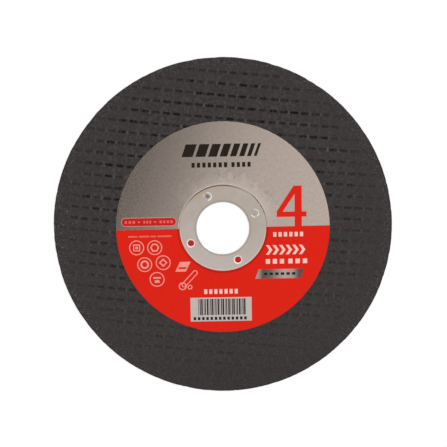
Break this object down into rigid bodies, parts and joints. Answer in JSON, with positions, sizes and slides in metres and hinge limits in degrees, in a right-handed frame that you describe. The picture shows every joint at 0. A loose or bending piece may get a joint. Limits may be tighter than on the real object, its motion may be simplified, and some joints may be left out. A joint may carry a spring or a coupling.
{
  "type": "cut-off wheel",
  "caption": "Thin flat abrasive cut-off wheel with a woven imprint on its faces, a round two-tone label and a stamped metal ring lining its bore.",
  "frame": {"origin": "centre of the bore on the wheel's back face, which lies on the ground", "axes": "+Z along the bore's axis, out of the label's face; +Y to the top of the label's print"},
  "size_m": [0.105, 0.105, 0.0011],
  "materials": {
    "abrasive": "matte resin-bonded grain",
    "label_paper": "satin metallic ink",
    "ring_metal": "matte tinplate"
  },
  "bodies": {
    "root": {"abrasive_disc": "abrasive", "label": "label_paper", "bore_ring": "ring_metal"}
  },
  "joints": []
}
